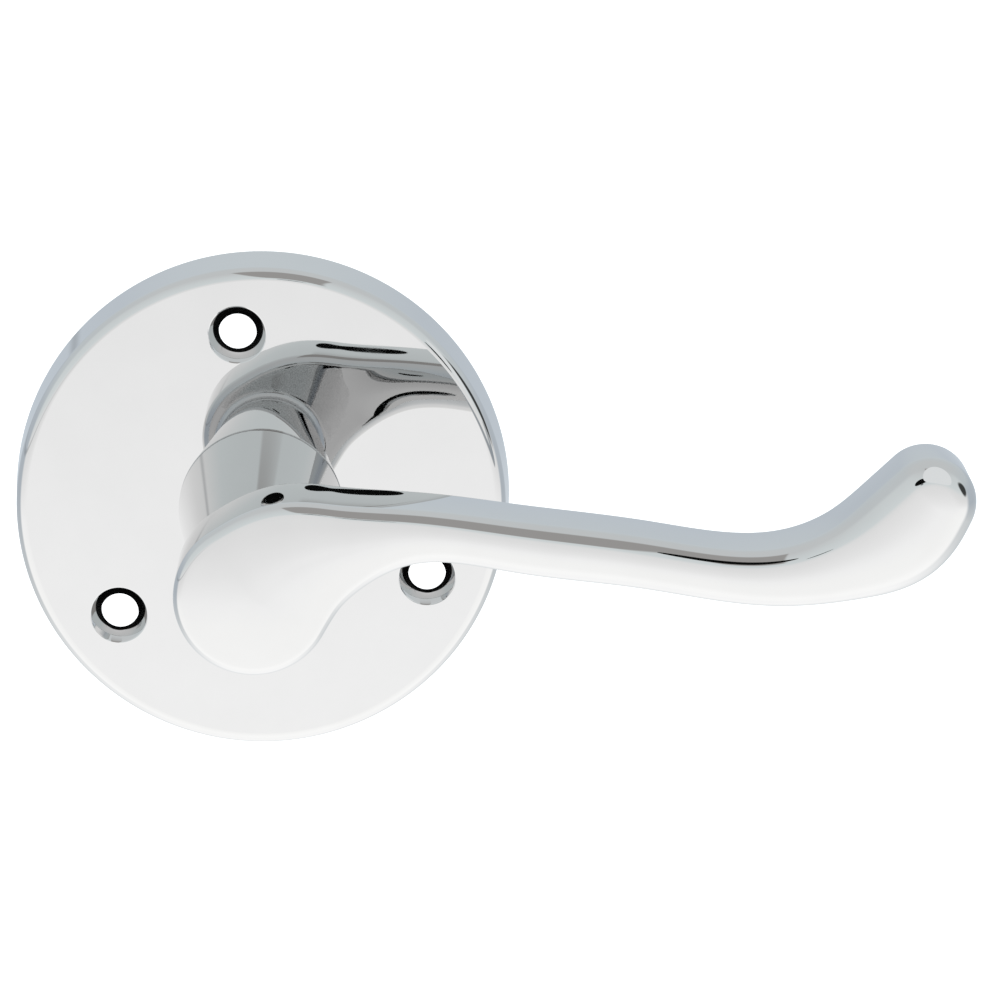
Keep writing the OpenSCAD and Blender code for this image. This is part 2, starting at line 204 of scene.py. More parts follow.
# Black for the flags and for the discs of painted shade in the rose's holes.
black_flag_and_painted_shade = bpy.data.materials.new("black_flag_and_painted_shade")
cloth = new_tree(black_flag_and_painted_shade)
weave = cloth.node("TexNoise", {}, {"Scale": 200.0})
cloth.node("OutputMaterial", {}, {0: cloth.node("BsdfPrincipled", {}, {
    "Base Color": weave.ramp((0.3, 0.004), (0.7, 0.006)), "Roughness": 0.8, "Specular IOR Level": 0.0})})
white_card = bpy.data.materials.new("white_card")
card = new_tree(white_card)
fibre = card.node("TexNoise", {}, {"Scale": 200.0})
lit = fibre.ramp((0.3, (1.02, 1.05, 1.06)), (0.7, (1.04, 1.07, 1.08)))
card.node("OutputMaterial", {}, {0: card.node("Emission", {}, {0: lit})})


def flag(name, middle, radius, facing, cloth=black_flag_and_painted_shade, height=1):
    """Round or oval flag that the plating mirrors, like a camera's front, or a black disc of painted shade.
    The camera looks through it.
    """
    mesh = bpy.data.meshes.new(name)
    angles = [math.tau * i / 48 for i in range(48)]
    mesh.from_pydata(
        [(radius * math.cos(a), height * radius * math.sin(a), 0) for a in angles], [], [range(48)])
    mesh.materials.append(cloth)
    hung = bpy.data.objects.new(name, mesh)
    bpy.context.scene.collection.objects.link(hung)
    hung.location = middle
    hung.rotation_euler = facing.to_track_quat("Z", "Y").to_euler()
    hung.visible_camera = False
    hung.visible_diffuse = False
    hung.visible_shadow = False


below_lens = Vector((0, 0, 22 * MM))
flag("camera_front", camera.location + 10 * MM * towards_camera - below_lens, 17 * MM, towards_camera)
tip_spot = Vector((81.5 * MM, -55 * MM, 14 * MM))
towards_flag = Vector((-0.236, -0.882, 0.407))
flag("tip_flag", tip_spot + 55 * MM * towards_flag, 10.5 * MM, towards_flag)
towards_card = Vector((0.07, -0.665, 0.743))
card_spot = tip_spot + Vector((6 * MM, 0, 0)) + 40 * MM * towards_card
flag("tip_card", card_spot, 20 * MM, towards_card, white_card, 1.65)

floor_level = cad_bounds[0][2] - 0.06
floor_mesh = bpy.data.meshes.new("floor")
floor_size = 4
corners = [(x * floor_size, y * floor_size, floor_level) for x, y in ((-1, -1), (1, -1), (1, 1), (-1, 1))]
floor_mesh.from_pydata(corners, [], [(0, 1, 2, 3)])
floor = bpy.data.objects.new("floor", floor_mesh)
bpy.context.scene.collection.objects.link(floor)
floor.visible_glossy = False
paper = bpy.data.materials.new("floor_paper")
sheet = new_tree(paper)
grain = sheet.node("TexNoise", {}, {"Scale": 60.0, "Detail": 3.0})
paper_shader = sheet.node("BsdfPrincipled", {}, {
    "Base Color": grain.ramp((0.3, 0.80), (0.7, 0.84)),
    "Roughness": 0.9,
    "Specular IOR Level": 0.0,
    "Emission Color": (1, 1, 1, 1),
    "Emission Strength": 0.75,
})
sheet.node("OutputMaterial", {}, {0: paper_shader})
floor_mesh.materials.append(paper)

# ---------------------------------------------------------------------------
# Rose: a hollow round die casting, polished and chrome-plated in front and
# left as cast behind, with three countersunk holes for its face screws.
# ---------------------------------------------------------------------------
rose_low, rose_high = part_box("rose_plate")
rose_radius = rose_high.x
rose_depth = -rose_low.y
rose_draft = 0.7 * MM
rose_edge = 1.5 * MM
plate_depth = 3 * MM
rim_wall = 2.5 * MM
pocket_radius = 18 * MM
pocket_depth = 0.8 * MM
boss_radius = 10.87 * MM
boss_length = 2.7 * MM
bush_seat_radius = 9.07 * MM
flange_seat_radius = 9.77 * MM
flange_seat_depth = 0.9 * MM
screw_ring = rose_radius - 8.85 * MM
screw_angles = [math.radians(96.9 + 120 * i) for i in range(3)]


def arc(centre, radius, start, end, steps):
    """Points of an arc, as (distance from the axis, distance out of the door)."""
    angles = [math.radians(start + (end - start) * i / steps) for i in range(steps + 1)]
    return [(centre[0] + radius * math.cos(a), centre[1] + radius * math.sin(a)) for a in angles]


def place(radius, angle, out):
    """A point at a distance from the turning axis, at an angle from the arm's side, and out of the door."""
    return Vector((radius * math.cos(angle), -out, radius * math.sin(angle)))


def add_piece(name, mesh, body, replaced=None):
    piece = bpy.data.objects.new(name, mesh)
    bpy.context.scene.collection.objects.link(piece)
    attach(piece, body)
    if replaced:
        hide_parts(replaced)
    return piece


def turned(name, profile, steps=192, axis_point=(0, 0)):
    """Mesh of a closed profile turned round an axis that runs out of the door."""
    shape = bmesh.new()
    rings = []
    for radius, out in profile:
        if radius < 1e-6:
            rings.append([shape.verts.new((axis_point[0], -out, axis_point[1]))] * steps)
            continue
        rings.append([shape.verts.new(
            place(radius, 2 * math.pi * i / steps, out) + Vector((axis_point[0], 0, axis_point[1]))
        ) for i in range(steps)])
    for ring, after in zip(rings, rings[1:] + rings[:1]):
        for i in range(steps):
            j = (i + 1) % steps
            corners = list(dict.fromkeys((ring[i], ring[j], after[j], after[i])))
            if len(corners) > 2:
                shape.faces.new(corners)
    bmesh.ops.recalc_face_normals(shape, faces=shape.faces)
    mesh = bpy.data.meshes.new(name)
    shape.to_mesh(mesh)
    shape.free()
    return mesh


def rounded(corners, steps=6):
    """Closed profile from corners, each a distance from the axis, a distance out and a fillet's radius."""
    profile = []
    for i, (x, out, radius) in enumerate(corners):
        corner = Vector((x, out))
        to_before = Vector(corners[i - 1][:2]) - corner
        to_after = Vector(corners[(i + 1) % len(corners)][:2]) - corner
        half_angle = to_before.angle(to_after) / 2
        if radius == 0 or half_angle > 1.55:
            profile.append((x, out))
            continue
        inwards = (to_before.normalized() + to_after.normalized()).normalized()
        middle = corner + inwards * radius / math.sin(half_angle)
        tangent = radius / math.tan(half_angle)
        first = corner + to_before.normalized() * tangent - middle
        sweep = first.angle_signed(corner + to_after.normalized() * tangent - middle)
        for k in range(steps + 1):
            spot = middle + Matrix.Rotation(-sweep * k / steps, 2) @ first
            profile.append((spot.x, spot.y))
    return profile


def apply_modifiers(piece):
    bpy.context.view_layer.update()
    made = bpy.data.meshes.new_from_object(piece.evaluated_get(bpy.context.evaluated_depsgraph_get()))
    piece.modifiers.clear()
    old = piece.data
    piece.data = made
    bpy.data.meshes.remove(old)
    made.name = piece.name


def smooth(mesh, sharp_angle=35):
    mesh.shade_smooth()
    mesh.set_sharp_from_angle(angle=math.radians(sharp_angle))


def cut_away(piece, cutters):
    for cutter in cutters:
        tool = bpy.data.objects.new("cutter", cutter)
        bpy.context.scene.collection.objects.link(tool)
        cut = piece.modifiers.new("cut", "BOOLEAN")
        cut.object = tool
        cut.solver = "EXACT"
        apply_modifiers(piece)
        bpy.data.objects.remove(tool)


plate_back = rose_depth - plate_depth
pocket_floor = plate_back + pocket_depth
boss_end = pocket_floor - boss_length
flange_back = rose_depth - flange_seat_depth
rose_profile = rounded([
    (rose_radius - rim_wall, 0, 0.2 * MM), (rose_radius, 0, 0.3 * MM),
    (rose_radius - rose_draft, rose_depth, rose_edge),
    (flange_seat_radius, rose_depth, 0.15 * MM), (flange_seat_radius, flange_back, 0.1 * MM),
    (bush_seat_radius, flange_back, 0.1 * MM), (bush_seat_radius, boss_end, 0.2 * MM),
    (boss_radius, boss_end, 0.3 * MM), (boss_radius, pocket_floor, 0.4 * MM),
    (pocket_radius, pocket_floor, 0.2 * MM), (pocket_radius, plate_back, 0.3 * MM),
    (rose_radius - rim_wall, plate_back, 1 * MM),
], 12)

rose = add_piece("rose", turned("rose", rose_profile, 256), "rose", "rose_plate")
hole_radius = 2.4 * MM
sink_radius = 3.62 * MM
sink_depth = 1.5 * MM
sink_start = rose_depth - sink_depth
lip_radius = sink_radius + 0.08 * MM
past_face = rose_depth + 1 * MM
screw_hole_profile = rounded([
    (0, -1 * MM, 0), (hole_radius, -1 * MM, 0), (hole_radius, sink_start, 0.2 * MM),
    (sink_radius - 0.07 * MM, rose_depth - 0.1 * MM, 0), (sink_radius, rose_depth - 0.03 * MM, 0),
    (lip_radius, rose_depth, 0), (lip_radius, past_face, 0), (0, past_face, 0),
])
hole_cutters = []
for angle in screw_angles:
    middle = place(screw_ring, angle, 0)
    hole_cutters.append(turned("screw_hole", screw_hole_profile, 96, (middle.x, middle.z)))
    # Painted shade: a black disc near the back of each hole's bore, seen only in reflections, stands in for
    # the dark that the hole looks through to.
    behind_hole = middle - Vector((0, plate_back + 0.1 * MM, 0))
    flag("painted_shade_in_hole", behind_hole, hole_radius - 0.02 * MM, Vector((0, -1, 0)))
cut_away(rose, hole_cutters)
smooth(rose.data)
shape = bmesh.new()
shape.from_mesh(rose.data)
for edge in shape.edges:
    flat_sides = sum(face.normal.y < -0.9999 for face in edge.link_faces)
    from_hole = min(math.dist(place(screw_ring, angle, 0).xz, edge.verts[0].co.xz) for angle in screw_angles)
    if flat_sides == 1 and from_hole < sink_radius + 0.2 * MM:
        edge.smooth = False  # keeps the flat face's mirror image straight beside a hole
shape.to_mesh(rose.data)
shape.free()
even = rose.modifiers.new("even_normals", "WEIGHTED_NORMAL")
even.keep_sharp = True


def plated(name, colour, waviness, haze):
    """Chrome plate over a hand-polished casting: long faint waves, fine wipe marks and thin haze."""
    material = bpy.data.materials.new(name)
    tree = new_tree(material)
    where = tree.node("TexCoord", output=3)
    waves = tree.node("TexNoise", {}, {"Vector": where, "Scale": 90.0, "Detail": 1.0})
    wipes = tree.node("TexNoise", {}, {"Vector": where, "Scale": 900.0, "Detail": 4.0, "Roughness": 0.7})
    smears = tree.node("TexNoise", {}, {"Vector": where, "Scale": 140.0, "Detail": 5.0, "Roughness": 0.6})
    lift = waves + 0.006 * wipes
    relief = tree.node("Bump", {}, {"Strength": 1.0, "Distance": waviness, "Height": lift})
    shader = tree.node("BsdfPrincipled", {}, {
        "Base Color": smears.ramp((0.35, tuple(0.985 * c for c in colour)), (0.65, colour)),
        "Metallic": 1.0,
        "Roughness": haze * smears.step(0.45, 0.75) + 0.012,
        "Normal": relief,
    })
    tree.node("OutputMaterial", {}, {0: shader})
    return material


def dull_metal(name, dark, light, roughness, grain, relief, metallic=1.0, stretch=(1, 1, 1)):
    """Unpolished metal: mottled colour, uneven gloss and a fine grain, drawn out along one way by stretch."""
    material = bpy.data.materials.new(name)
    tree = new_tree(material)
    where = tree.node("Mapping", {}, {"Vector": tree.node("TexCoord", output=3), "Scale": stretch})
    mottle = tree.node("TexNoise", {}, {
        "Vector": where, "Scale": 0.2 * grain, "Detail": 4.0, "Roughness": 0.6})
    fine = tree.node("TexNoise", {}, {"Vector": where, "Scale": grain, "Detail": 5.0, "Roughness": 0.7})
    speckle = mottle.step(0.3, 0.7) * 0.6 + 0.4 * fine
    shader = tree.node("BsdfPrincipled", {}, {
        "Base Color": speckle.ramp((0.15, dark), (0.85, light)),
        "Metallic": metallic,
        "Roughness": 0.3 * roughness * fine.step(0.3, 0.7) + 0.85 * roughness,
        "Normal": tree.node("Bump", {}, {"Strength": 1.0, "Distance": relief, "Height": fine}),
    })
    tree.node("OutputMaterial", {}, {0: shader})
    return material


rose_chrome = plated("rose_chrome", (0.66, 0.66, 0.66), 0.0000015, 0.02)
as_cast = dull_metal("as_cast_zinc", (0.30, 0.30, 0.31), (0.46, 0.46, 0.47), 0.42, 2200, 0.00003)
# Painted shade: the bores of the screw holes get a near-black metal, far darker than bare zinc, for the shade
# inside them.
painted_bore_shade = dull_metal("painted_shade_in_bores", (0.02, 0.02, 0.02), (0.05, 0.05, 0.05), 0.6, 3000, 0.00002)
for finish in (rose_chrome, as_cast, painted_bore_shade):
    rose.data.materials.append(finish)
for face in rose.data.polygons:
    x, out, z = face.center.x, -face.center.y, face.center.z
    from_axis = math.hypot(x, z)
    from_hole = min(math.dist((x, z), place(screw_ring, angle, 0).xz) for angle in screw_angles)
    in_hole = from_hole < hole_radius + 0.1 * MM
    # Painted shade on the walls of the bores.
    if in_hole and face.normal.y < 0.9 and plate_back < out < sink_start + 0.05 * MM:
        face.material_index = 2
    elif out < 0.05 * MM or (from_axis < rose_radius - rim_wall + 0.05 * MM and out < sink_start):
        face.material_index = 1

# ---------------------------------------------------------------------------
# Bush: a flanged sleeve of natural nylon, turned from rod and pressed into the
# rose from the front. The shank turns in it and its flange carries the neck.
# ---------------------------------------------------------------------------
bush_bore = 8.05 * MM
sleeve_radius = 9.05 * MM
flange_radius = 9.75 * MM
flange_front = flange_back + 1.1 * MM
bush_profile = rounded([
    (bush_bore, boss_end, 0.15 * MM), (sleeve_radius, boss_end, 0.25 * MM),
    (sleeve_radius, flange_back, 0.05 * MM), (flange_radius, flange_back, 0.1 * MM),
    (flange_radius, flange_front, 0.2 * MM), (bush_bore, flange_front, 0.2 * MM),
])
bush = add_piece("bush", turned("bush", bush_profile), "rose", "neck_bush")
smooth(bush.data)


def nylon_material():
    """Natural nylon: milky, a little yellow, with faint turning lines and a soft gloss."""
    material = bpy.data.materials.new("nylon")
    tree = new_tree(material)
    where = tree.node("TexCoord", output=3)
    cloud = tree.node("TexNoise", {}, {"Vector": where, "Scale": 250.0, "Detail": 3.0})
    lines = tree.node("TexNoise", {}, {
        "Vector": tree.node("Mapping", {}, {"Vector": where, "Scale": (40, 4000, 40)}),
        "Scale": 4.0, "Detail": 3.0})
    shader = tree.node("BsdfPrincipled", {}, {
        "Base Color": cloud.ramp((0.3, (0.66, 0.64, 0.55)), (0.7, (0.76, 0.74, 0.66))),
        "Roughness": 0.2 * lines + 0.38,
        "Subsurface Weight": 0.2,
        "Subsurface Radius": (0.002, 0.0018, 0.0014),
        "Normal": tree.node("Bump", {}, {"Strength": 1.0, "Distance": 0.00002, "Height": lines}),
    })
    tree.node("OutputMaterial", {}, {0: shader})
    return material


nylon = nylon_material()
bush.data.materials.append(nylon)

# ---------------------------------------------------------------------------
# Pins: two hardened steel pins that stop the lever and a shorter post that
# holds the spring's fixed leg, all pressed into seats in the pocket's floor.
# ---------------------------------------------------------------------------
pin_radius = 1.5 * MM
pin_ring = 14.57 * MM
pin_seat = pocket_floor + 1.35 * MM
stop_angles = (math.radians(-53.19), math.radians(-126.81))
post_angle = math.radians(22.31)
stop_back = 2.45 * MM
stop_front = 3.65 * MM


def pin_mesh(name, places, back):
    """Round pins with a chamfered end towards the door, at angles on the ring of pins."""
    chamfer = 0.25 * MM
    pins = bmesh.new()
    profile = rounded([
        (0, back, 0), (pin_radius - chamfer, back, 0.05 * MM), (pin_radius, back + chamfer, 0.05 * MM),
        (pin_radius, pin_seat, 0.05 * MM), (0, pin_seat, 0),
    ])
    for angle in places:
        middle = place(pin_ring, angle, 0)
        one = turned(name, profile, 64, (middle.x, middle.z))
        pins.from_mesh(one)
        bpy.data.meshes.remove(one)
    mesh = bpy.data.meshes.new(name)
    pins.to_mesh(mesh)
    pins.free()
    smooth(mesh)
    return mesh


ground_steel = dull_metal("ground_steel", (0.42, 0.42, 0.43), (0.62, 0.62, 0.63), 0.25, 1500, 0.00001,
                          stretch=(1, 0.1, 1))
stops = add_piece("limit_pins", pin_mesh("limit_pins", stop_angles, stop_back), "rose", "stop_pins")
post = add_piece("leg_post", pin_mesh("leg_post", [post_angle], stop_front), "rose", "spring_post")
for piece in (stops, post):
    piece.data.materials.append(ground_steel)

# ---------------------------------------------------------------------------
# Lever: arm, neck and shank in one die casting, polished and chrome-plated.
# The arm's front view is wrapped round circles that run from the scroll over
# the turning axis to the curled tip.
# ---------------------------------------------------------------------------
lever_low, lever_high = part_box("lever_handle")
arm_back = rose_depth + 35 * MM
arm_front = arm_back + 11.6 * MM
crown_slope = math.radians(5.6)
arm_back_edge = 1.2 * MM
back_dome = math.radians(17)
dome_start, dome_end = 9 * MM, 20 * MM
# Along the arm, up, radius, radius of the front edge
arm_circles = [
    (0.4, 0.8, 9.4, 1.3), (4.2, 4.2, 8, 1.4), (9.4, 6.2, 5.8, 1.5), (19.2, 8, 3.3, 1.7),
    (31.8, 6.6, 3.1, 1.9), (46.6, 4.6, 3.1, 2), (62.4, 2.8, 3.5, 2), (72, 5, 4.9, 2.4),
    (77.2, 8, 6, 3), (80.2, 11.6, 5.4, 3),
]


def natural_spline(knots, values, at):
    """Value and slope at a place on the smoothest curve through the knots' values."""
    n = len(knots)
    gaps = [knots[i + 1] - knots[i] for i in range(n - 1)]
    slopes = [(values[i + 1] - values[i]) / gaps[i] for i in range(n - 1)]
    lower, bends = [0.0] * n, [0.0] * n
    for i in range(1, n - 1):
        pivot = 2 * (gaps[i - 1] + gaps[i]) - gaps[i - 1] * lower[i - 1]
        lower[i] = gaps[i] / pivot
        bends[i] = (6 * (slopes[i] - slopes[i - 1]) - gaps[i - 1] * bends[i - 1]) / pivot
    curves = [0.0] * n
    for i in range(n - 2, 0, -1):
        curves[i] = bends[i] - lower[i] * curves[i + 1]
    i = max(k for k in range(n - 1) if knots[k] <= at or k == 0)
    h, a, b = gaps[i], (knots[i + 1] - at), (at - knots[i])
    value = (curves[i] * a ** 3 + curves[i + 1] * b ** 3) / (6 * h) + (
        values[i] / h - curves[i] * h / 6) * a + (values[i + 1] / h - curves[i + 1] * h / 6) * b
    slope = (curves[i + 1] * b ** 2 - curves[i] * a ** 2) / (2 * h) + slopes[i] - (
        curves[i + 1] - curves[i]) * h / 6
    return value, slope


def arm_outline(steps=240, tip_steps=96, head_steps=144):
    """Centre, radius, edge radius and outward direction of each point round the arm's front view."""
    knots = [0.0]
    for one, two in zip(arm_circles, arm_circles[1:]):
        knots.append(knots[-1] + math.dist(one[:2], two[:2]))
    stations = []
    for i in range(steps + 1):
        at = knots[-1] * i / steps
        (x, dx), (z, dz), (r, dr), (edge, _) = (
            natural_spline(knots, [c[k] * MM for c in arm_circles], at) for k in range(4))
        speed = math.hypot(dx, dz)
        along = Vector((dx, dz)) / speed
        lean = dr / speed
        across = math.sqrt(1 - lean * lean) * Vector((-along.y, along.x))
        stations.append((Vector((x, z)), r, edge, across - lean * along, -across - lean * along))

    def end_arc(station, start, end, round_steps):
        first, last = math.atan2(start.y, start.x), math.atan2(end.y, end.x)
        if last > first:
            last -= 2 * math.pi
        angles = [first + (last - first) * (k + 1) / (round_steps + 1) for k in range(round_steps)]
        return [(station[0], station[1], station[2], Vector((math.cos(a), math.sin(a)))) for a in angles]

    upper = [(s[0], s[1], s[2], s[3]) for s in stations]
    lower = [(s[0], s[1], s[2], s[4]) for s in reversed(stations)]
    return upper + end_arc(stations[-1], stations[-1][3], stations[-1][4], tip_steps) + lower + end_arc(
        stations[0], stations[0][4], stations[0][3], head_steps)


def merge(piece, mesh):
    """Fuses a mesh with a piece that it overlaps."""
    other = bpy.data.objects.new(mesh.name, mesh)
    bpy.context.scene.collection.objects.link(other)
    join = piece.modifiers.new("join", "BOOLEAN")
    join.operation = "UNION"
    join.object = other
    join.solver = "EXACT"
    apply_modifiers(piece)
    bpy.data.objects.remove(other)


def arm_mesh():
    """The arm, ring by ring from the middle of its back over both edges to the middle of its crown."""
    outline = arm_outline()
    levels = [("back", 1 - i / 12) for i in range(12)]
    levels += [("back_edge", 90 * i / 8) for i in range(9)]
    levels += [("front_edge", (90 - math.degrees(crown_slope)) * i / 12) for i in range(13)]
    levels += [("crown", i / 12) for i in range(1, 13)]
    shape = bmesh.new()
    rings = []
    for kind, value in levels:
        ring = []
        for centre, r, edge, outward in outline:
            turn = math.radians(value)
            along = min(max((centre.x - dome_start) / (dome_end - dome_start), 0), 1)
            dome = back_dome * along * along * (3 - 2 * along)
            back_width = r - arm_back_edge * (1 - math.sin(dome))
            back_rise = back_width * math.tan(dome) / 2
            if kind == "back":
                reach, out = back_width * (1 - value), arm_back + back_rise * (1 - value) ** 2
            elif kind == "back_edge":
                turn = dome + (math.pi / 2 - dome) * value / 90
                reach = r - arm_back_edge * (1 - math.sin(turn))
                out = arm_back + back_rise + arm_back_edge * (math.cos(dome) - math.cos(turn))
            elif kind == "front_edge":
                reach, out = r - edge * (1 - math.cos(turn)), arm_front - edge * (1 - math.sin(turn))
            else:
                width = r - edge + edge * math.sin(crown_slope)
                rise = width * math.tan(crown_slope) / 2
                reach = width * (1 - value)
                out = arm_front - edge * (1 - math.cos(crown_slope)) + rise * (1 - (1 - value) ** 2)
            spot = centre + reach * outward
            ring.append(shape.verts.new((spot.x, -out, spot.y)))
        rings.append(ring)
    count = len(outline)
    for ring, after in zip(rings, rings[1:]):
        for i in range(count):
            shape.faces.new((ring[i], ring[(i + 1) % count], after[(i + 1) % count], after[i]))
    bmesh.ops.remove_doubles(shape, verts=shape.verts, dist=1e-7)
    bmesh.ops.recalc_face_normals(shape, faces=shape.faces)
    mesh = bpy.data.meshes.new("lever")
    shape.to_mesh(mesh)
    shape.free()
    return mesh


shank_radius = 8 * MM
shank_end = -lever_high.y
neck_back = rose_depth + 0.25 * MM
neck_foot_radius = 10.5 * MM
neck_top_radius = 6.7 * MM
neck_fillet = 0.9 * MM
inside_arm = arm_back + 5 * MM
groove_back = 0.8 * MM
groove_front = 1.85 * MM
groove_radius = 7.4 * MM
flats = 13.6 * MM
socket_width = 8.1 * MM
socket_end = 38.05 * MM
grub_out = 18.2 * MM
grub_hole_radius = 2.5 * MM
neck_profile = rounded([
    (0, shank_end, 0), (shank_radius, shank_end, 0.15 * MM), (shank_radius, groove_back, 0.05 * MM),
    (groove_radius, groove_back, 0.05 * MM), (groove_radius, groove_front, 0.05 * MM),
    (shank_radius, groove_front, 0.05 * MM), (shank_radius, neck_back, 0.1 * MM),
    (neck_foot_radius, neck_back, 0.3 * MM), (neck_top_radius, arm_back, neck_fillet),
    (neck_top_radius + neck_fillet, arm_back, 0), (neck_top_radius + neck_fillet, inside_arm, 0),
    (0, inside_arm, 0),
])

lever = add_piece("lever", arm_mesh(), "lever", "lever_handle")
merge(lever, turned("neck", neck_profile, 192))


def block(name, low, high):
    """Box between two corners that only serves as a cutting tool."""
    mesh = bpy.data.meshes.new(name)
    corners = [(x, y, z) for x in (low[0], high[0]) for y in (low[1], high[1]) for z in (low[2], high[2])]
    sides = [(0, 1, 3, 2), (4, 6, 7, 5), (0, 4, 5, 1), (2, 3, 7, 6), (0, 2, 6, 4), (1, 5, 7, 3)]
    mesh.from_pydata(corners, [], sides)
    return mesh


def pointing_down(mesh, out):
    """Turns a mesh made round the lever's axis to point straight down, at a distance from the door."""
    mesh.transform(Matrix.Translation((0, -out, 0)) @ Matrix.Rotation(math.radians(90), 4, "X"))
    return mesh


half_flats, half_socket, beyond = flats / 2, socket_width / 2, 20 * MM
grub_hole = rounded([(0, 0, 0), (grub_hole_radius, 0, 0), (grub_hole_radius, beyond, 0), (0, beyond, 0)])
cut_away(lever, [
    block("socket", (-half_socket, -socket_end, -half_socket), (half_socket, 1 * MM, half_socket)),
    block("upper_flat", (-beyond, -stop_front, half_flats), (beyond, 1 * MM, beyond)),
    block("lower_flat", (-beyond, -stop_front, -beyond), (beyond, 1 * MM, -half_flats)),
    pointing_down(turned("grub_hole", grub_hole, 64), grub_out),
])
smooth(lever.data, 40)
lever_chrome = plated("lever_chrome", (0.66, 0.66, 0.66), 0.0000015, 0.02)
lever.data.materials.append(lever_chrome)
lever.data.materials.append(as_cast)
for face in lever.data.polygons:
    if -face.center.y < neck_back - 0.05 * MM:
        face.material_index = 1

# ---------------------------------------------------------------------------
# Thrust washer: a nylon ring that runs between the rose's boss and the stop
# plate, so that steel never rubs on the casting.
# ---------------------------------------------------------------------------
thrust_radius = boss_radius - 0.02 * MM
thrust_front = stop_front + 0.6 * MM
thrust_profile = rounded([
    (bush_bore, stop_front, 0.1 * MM), (thrust_radius, stop_front, 0.1 * MM),
    (thrust_radius, thrust_front, 0.1 * MM), (bush_bore, thrust_front, 0.1 * MM),
])
thrust = add_piece("nylon_washer", turned("nylon_washer", thrust_profile), "lever", "thrust_washer")
smooth(thrust.data)
thrust.data.materials.append(nylon)

# ---------------------------------------------------------------------------
# Stop plate: a steel pressing keyed on the shank's flats. Its ear is bent
# forwards and meets the stop pins, and the spring's free leg pushes on it.
# ---------------------------------------------------------------------------
ear_width = 4 * MM
tab_thickness = 2.2 * MM
ear_angle = math.radians(-67.5)
tab_front = 5.1 * MM


def pressed(name, outlines, back, front, bevel):
    """Flat part stamped from sheet: closed outlines, holes among them, with every edge a little broken."""
    curve = bpy.data.curves.new(name, "CURVE")
    curve.dimensions = "2D"
    curve.fill_mode = "BOTH"
    curve.bevel_depth = bevel
    curve.bevel_resolution = 1
    curve.offset = -bevel
    curve.extrude = (front - back) / 2 - bevel
    for outline in outlines:
        line = curve.splines.new("POLY")
        line.points.add(len(outline) - 1)
        for point, (x, z) in zip(line.points, outline):
            point.co = (x, z, 0, 1)
        line.use_cyclic_u = True
    drawn = bpy.data.objects.new(name, curve)
    bpy.context.scene.collection.objects.link(drawn)
    bpy.context.view_layer.update()
    mesh = bpy.data.meshes.new_from_object(drawn.evaluated_get(bpy.context.evaluated_depsgraph_get()))
    bpy.data.objects.remove(drawn)
    bpy.data.curves.remove(curve)
    mesh.name = name
    mesh.transform(
        Matrix.Translation((0, -(front + back) / 2, 0)) @ Matrix.Rotation(math.radians(90), 4, "X"))
    shape = bmesh.new()
    shape.from_mesh(mesh)
    bmesh.ops.remove_doubles(shape, verts=shape.verts, dist=1e-7)
    bmesh.ops.recalc_face_normals(shape, faces=shape.faces)
    shape.to_mesh(mesh)
    shape.free()
    mesh.materials.clear()
    return mesh


def across_ring(angle, radius, side):
    """Point at a distance along a direction from the axis, and at a distance square to that direction."""
    return (radius * math.cos(angle) - side * math.sin(angle),
            radius * math.sin(angle) + side * math.cos(angle))


half_ear = ear_width / 2
ear_root = math.asin(half_ear / boss_radius)
tab_outside = pin_ring + tab_thickness / 2
plate_outline = arc(
    (0, 0), boss_radius, math.degrees(ear_angle + ear_root), math.degrees(ear_angle - ear_root) + 360, 96)
plate_outline += [
    across_ring(ear_angle, tab_outside, -half_ear), across_ring(ear_angle, tab_outside, half_ear)]
key_radius = shank_radius + 0.02 * MM
key_angle = math.degrees(math.asin((flats / 2 + 0.02 * MM) / key_radius))
key_hole = arc((0, 0), key_radius, -key_angle, key_angle, 24)
key_hole += arc((0, 0), key_radius, 180 - key_angle, 180 + key_angle, 24)
stop = add_piece(
    "keyed_plate", pressed("keyed_plate", [plate_outline, key_hole], stop_back, stop_front, 0.12 * MM),
    "lever", "stop_plate")
tab_outline = [across_ring(ear_angle, r, side) for r, side in (
    (tab_outside - tab_thickness, -half_ear), (tab_outside, -half_ear),
    (tab_outside, half_ear), (tab_outside - tab_thickness, half_ear))]
merge(stop, pressed("tab", [tab_outline], stop_back, tab_front, 0.12 * MM))
smooth(stop.data, 50)
zinc = dull_metal("bright_zinc", (0.46, 0.47, 0.50), (0.64, 0.64, 0.63), 0.3, 700, 0.00001)
stop.data.materials.append(zinc)

# ---------------------------------------------------------------------------
# Return spring: round spring wire wound round the rose's boss. One leg stays
# at the post and the other bears on the stop plate's ear. In the lock that leg
# follows the ear as the lever turns; here the wire is made at rest and joins no body.
# ---------------------------------------------------------------------------
wire_radius = 0.4 * MM
coil_radius = 11.67 * MM
coil_front = pocket_floor - 0.5 * MM
coil_back = stop_front + 0.65 * MM
fixed_leg = math.radians(30)
free_leg = math.radians(-77.98)
leg_end = pin_ring + pin_radius
bend = 1.2 * MM
bend_turn = bend / coil_radius
coil_turn = 2 * math.tau + fixed_leg - free_leg - 2 * bend_turn
route = [(leg_end, fixed_leg, coil_front)]
bend_steps, coil_steps = 8, 144
for i in range(bend_steps + 1):
    turn = math.radians(90 * i / bend_steps)
    reach = coil_radius + bend * (1 - math.sin(turn))
    route.append((reach, fixed_leg - bend_turn * (1 - math.cos(turn)), coil_front))
for i in range(1, coil_steps):
    share = i / coil_steps
    out = coil_front + (coil_back - coil_front) * share
    route.append((coil_radius, fixed_leg - bend_turn - coil_turn * share, out))
